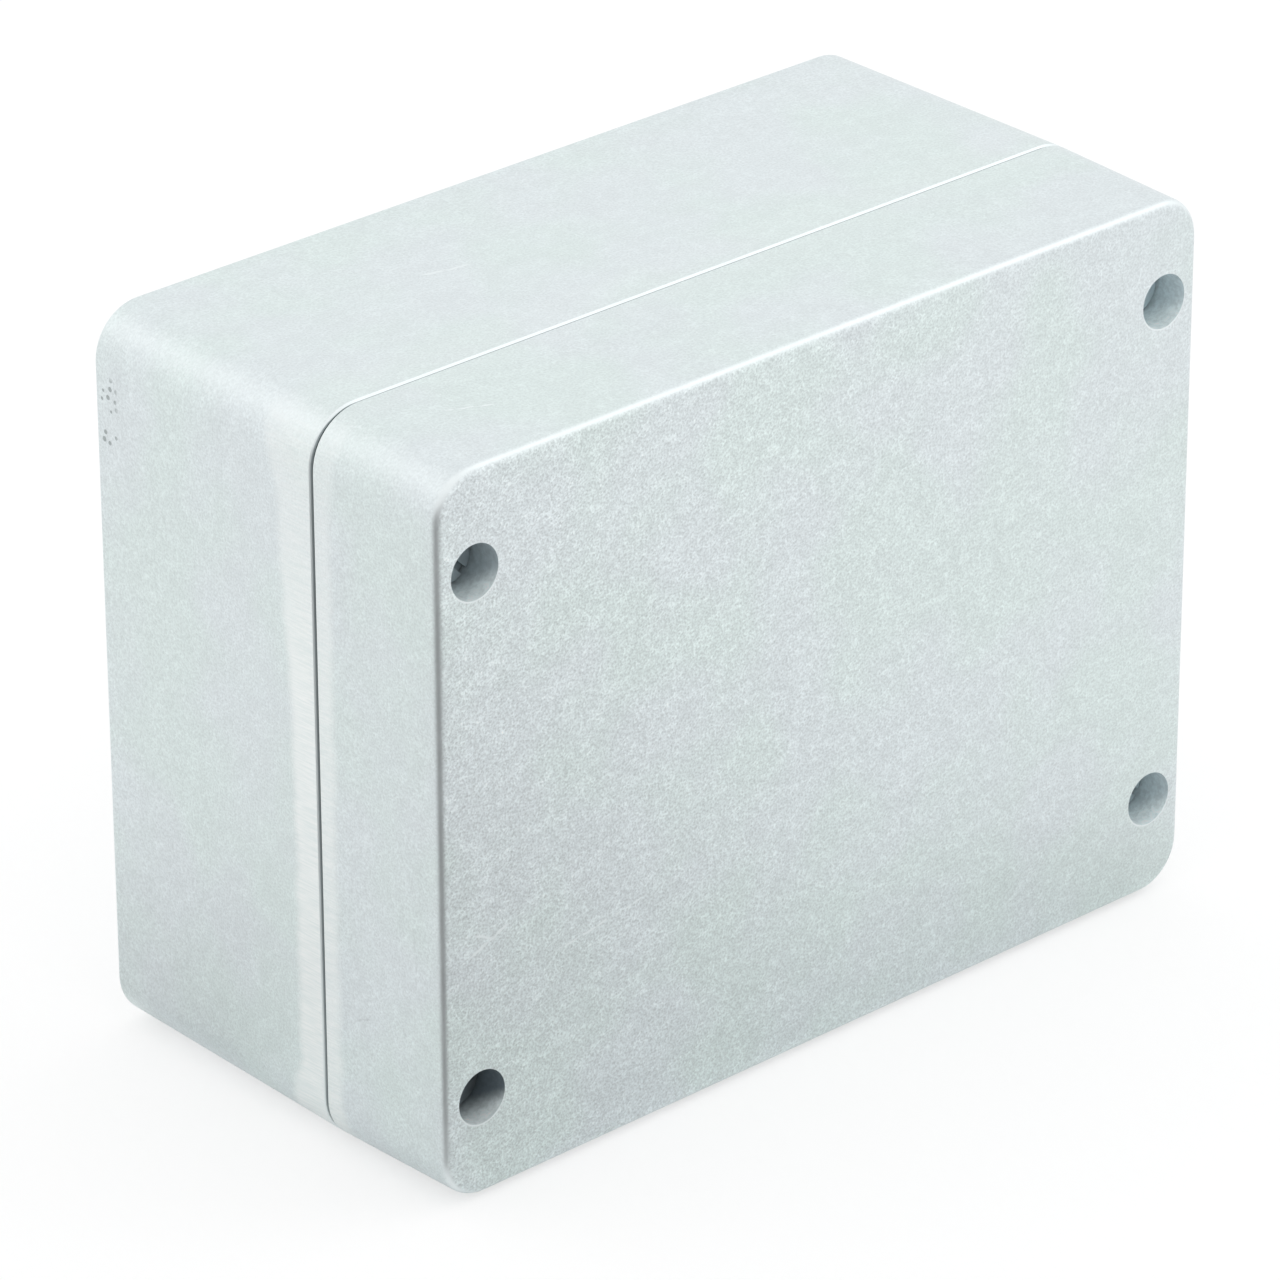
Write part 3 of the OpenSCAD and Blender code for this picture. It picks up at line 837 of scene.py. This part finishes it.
# %% [markdown]
# The screws are turned from steel. The lathe leaves fine rings round each axis, and the same fold
# of the coordinates as for the recesses lets one material serve all four. Deep in their recesses
# they carry most of the recess's painted shade.

# %% Finish of the screws
STEEL_DARK, STEEL_LIGHT = (0.46, 0.46, 0.45, 1), (0.60, 0.60, 0.58, 1)
STEEL_RING = (0.72, 0.72, 0.70, 1)
RING_SIZE = 0.12 * MM
SCREW_SHADE_SHARE = 0.8


def screw_steel():
    """Stained steel with lathe rings: a one-dimensional noise of the distance from the axis.
    Painted shade of the recess lies over it.
    """
    made, tree, shader, where = start_metal("screw_steel", 1.0)
    radius, _ = from_screw(tree, where)
    lathe = add(tree, "TexNoise", {"noise_dimensions": "1D"}, W=radius, Scale=1 / RING_SIZE,
                Detail=2.0)
    rings = lathe.outputs["Fac"]
    stain = noise(tree, where, 1.2 * MM, 3, 0.6)
    colour = tint(tree, spread(tree, stain, 0.35, 0.7), STEEL_DARK, STEEL_LIGHT)
    colour = tint(tree, spread(tree, rings, 0.4, 0.7, 0.0, 0.3), colour, STEEL_RING)
    # Painted shade of the recess over the steel.
    colour = tint(tree, SCREW_SHADE_SHARE, colour, lower_left_shade(tree, where))
    tree.links.new(colour, shader.inputs["Base Color"])
    tree.links.new(sway(tree, stain, 0.36, 0.5), shader.inputs["Roughness"])
    relief(tree, shader, (rings, 0.01 * MM, 0.5))
    return made


finishes["screw_steel"] = screw_steel()
print("screw_steel:", len(finishes["screw_steel"].node_tree.nodes), "nodes")

# %% [markdown]
# The pieces inside the closed box have plainer finishes: zinc plated terminals, a moulded rubber
# gasket and natural nylon rings. In each, the colour and the gloss drift with one noise, and a fine
# noise roughens the surface a little.

# %% Finishes of the inner pieces
ZINC_DARK, ZINC_LIGHT = (0.60, 0.61, 0.62, 1), (0.70, 0.70, 0.69, 1)
RUBBER_DARK, RUBBER_LIGHT = (0.025, 0.025, 0.026, 1), (0.045, 0.045, 0.046, 1)
NYLON_DARK, NYLON_LIGHT = (0.72, 0.69, 0.60, 1), (0.80, 0.78, 0.70, 1)


def terminal_steel():
    """Zinc plated steel, its colour and gloss drifting with the bloom of the plating."""
    made, tree, shader, where = start_metal("terminal_steel", 1.0)
    bloom = noise(tree, where, 1.5 * MM, 3, 0.6)
    colour = tint(tree, spread(tree, bloom, 0.35, 0.7), ZINC_DARK, ZINC_LIGHT)
    tree.links.new(colour, shader.inputs["Base Color"])
    tree.links.new(sway(tree, bloom, 0.3, 0.42), shader.inputs["Roughness"])
    relief(tree, shader, (noise(tree, where, 0.2 * MM), 0.01 * MM, 0.3))
    return made


def moulded(name, dark, light, low_roughness, high_roughness, size):
    """A moulded finish whose colour and roughness drift between two values over size metres."""
    made, tree, shader, where = start_metal(name, 0.0)
    drift = noise(tree, where, size, 3, 0.55)
    colour = tint(tree, spread(tree, drift, 0.35, 0.65), dark, light)
    tree.links.new(colour, shader.inputs["Base Color"])
    tree.links.new(sway(tree, drift, low_roughness, high_roughness), shader.inputs["Roughness"])
    relief(tree, shader, (noise(tree, where, 0.15 * MM), 0.01 * MM, 0.4))
    return made


finishes["terminal_steel"] = terminal_steel()
finishes["gasket_rubber"] = moulded("gasket_rubber", RUBBER_DARK, RUBBER_LIGHT, 0.6, 0.75, 3 * MM)
finishes["ring_nylon"] = moulded("ring_nylon", NYLON_DARK, NYLON_LIGHT, 0.4, 0.5, 2 * MM)
print("finishes made:", ", ".join(finishes))

# %% [markdown]
# The record says which finish each piece takes. A finish goes into the piece's own material slots,
# so the meshes stay as they came.

# %% Give every piece its finish
for part in frame["record"]["subparts"]:
    piece = nodes[part["node"]]
    for holder in piece.material_slots:
        holder.material = finishes[part["material_slot"]]
    print(part["node"], "has", part["material_slot"], "and", len(piece.data.polygons), "faces")

# %% [markdown]
# The view settings stay plain, so that a colour renders as it is written.

# %% Finish
bpy.context.scene.view_settings.view_transform = "Standard"
